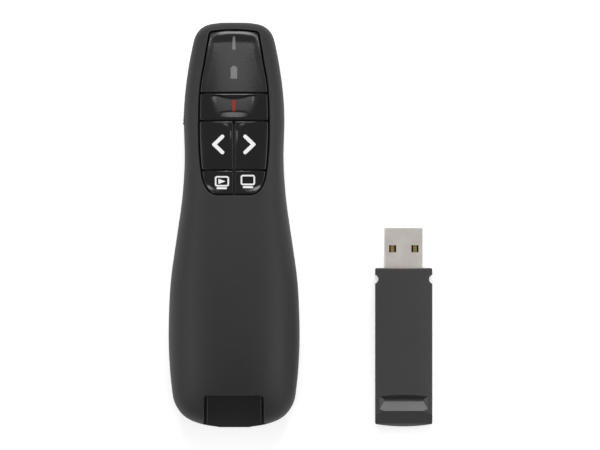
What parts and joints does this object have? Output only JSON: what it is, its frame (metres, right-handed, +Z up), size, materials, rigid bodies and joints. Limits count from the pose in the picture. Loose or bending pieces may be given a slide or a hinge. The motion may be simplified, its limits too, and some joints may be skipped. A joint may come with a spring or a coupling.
{
  "type": "wireless presenter",
  "caption": "Handheld wireless presenter with waisted soft-touch casing, glossy slide keys, laser key, side power switch, battery door and a plug-in USB receiver.",
  "frame": {"origin": "middle of the handset's flat underside, on the surface it rests on", "axes": "+Z up through the keys, +Y along the handset to the laser nose, +X to the right, where the receiver lies"},
  "size_m": [0.0816, 0.1248, 0.027],
  "materials": {
    "soft_touch_black": "fine matte soft-touch coating",
    "gloss_black": "polished black",
    "smoked_window": "polished smoked black",
    "satin_dark": "satin moulded, dark grey",
    "steel_plug": "drawn, satin",
    "gold_contact": "gold flash",
    "tongue_plastic": "moulded",
    "board_green": "solder mask",
    "chip_black": "moulded epoxy",
    "switch_steel": "stamped",
    "plunger_black": "moulded",
    "led_clear": "clear resin",
    "laser_brass": "turned",
    "laser_glass": "polished",
    "laser_window_red": "polished, tinted",
    "diode_steel": "plated can",
    "cell_sleeve": "printed sleeve",
    "spring_steel": "nickel plated",
    "screw_black": "black zinc"
  },
  "bodies": {
    "handset": {"top_shell": "soft_touch_black", "bottom_shell": "soft_touch_black", "front_panel": "smoked_window", "key_frame": "gloss_black", "receiver_bay": "gloss_black", "main_board": "board_green", "board_chips": "chip_black", "tact_switch_bodies": "switch_steel", "status_led": "led_clear", "power_switch_body": "switch_steel", "laser_barrel": "laser_brass", "laser_lens": "laser_glass", "laser_diode": "diode_steel", "laser_window": "laser_window_red", "battery_left": "cell_sleeve", "battery_right": "cell_sleeve", "bridge_contact": "spring_steel", "positive_contact": "spring_steel", "negative_contact": "spring_steel", "contact_springs": "spring_steel", "case_screws": "screw_black"},
    "laser_key": {"laser_key": "gloss_black", "laser_switch_plunger": "plunger_black"},
    "back_key": {"back_key": "gloss_black", "back_switch_plunger": "plunger_black"},
    "next_key": {"next_key": "gloss_black", "next_switch_plunger": "plunger_black"},
    "slideshow_key": {"slideshow_key": "gloss_black", "slideshow_switch_plunger": "plunger_black"},
    "blank_screen_key": {"blank_screen_key": "gloss_black", "blank_screen_switch_plunger": "plunger_black"},
    "power_switch": {"power_switch_knob": "gloss_black"},
    "battery_door": {"battery_door": "soft_touch_black"},
    "receiver": {"receiver_upper_shell": "satin_dark", "receiver_lower_shell": "satin_dark", "usb_shell": "steel_plug", "usb_tongue": "tongue_plastic", "usb_contacts": "gold_contact", "receiver_board": "board_green", "receiver_chips": "chip_black"}
  },
  "joints": [
    {"name": "laser_key_press", "type": "slide", "parent": "handset", "child": "laser_key", "axis": [0, 0, -1], "range_m": [0, 0.0004], "stiffness_N_per_m": 1500, "springref_m": -0.0006},
    {"name": "back_key_press", "type": "slide", "parent": "handset", "child": "back_key", "axis": [0, 0, -1], "range_m": [0, 0.0004], "stiffness_N_per_m": 1500, "springref_m": -0.0006},
    {"name": "next_key_press", "type": "slide", "parent": "handset", "child": "next_key", "axis": [0, 0, -1], "range_m": [0, 0.0004], "stiffness_N_per_m": 1500, "springref_m": -0.0006},
    {"name": "slideshow_key_press", "type": "slide", "parent": "handset", "child": "slideshow_key", "axis": [0, 0, -1], "range_m": [0, 0.0004], "stiffness_N_per_m": 1500, "springref_m": -0.0006},
    {"name": "blank_screen_key_press", "type": "slide", "parent": "handset", "child": "blank_screen_key", "axis": [0, 0, -1], "range_m": [0, 0.0004], "stiffness_N_per_m": 1500, "springref_m": -0.0006},
    {"name": "power_switch_slide", "type": "slide", "parent": "handset", "child": "power_switch", "axis": [0, 1, 0], "range_m": [0, 0.0025]},
    {"name": "battery_door_slide", "type": "slide", "parent": "handset", "child": "battery_door", "axis": [0, -1, 0], "range_m": [0, 0.068]},
    {"name": "receiver_lift", "type": "slide", "parent": "handset", "child": "receiver", "axis": [0, 0, 1], "range_m": [0, 0.06]}
  ]
}
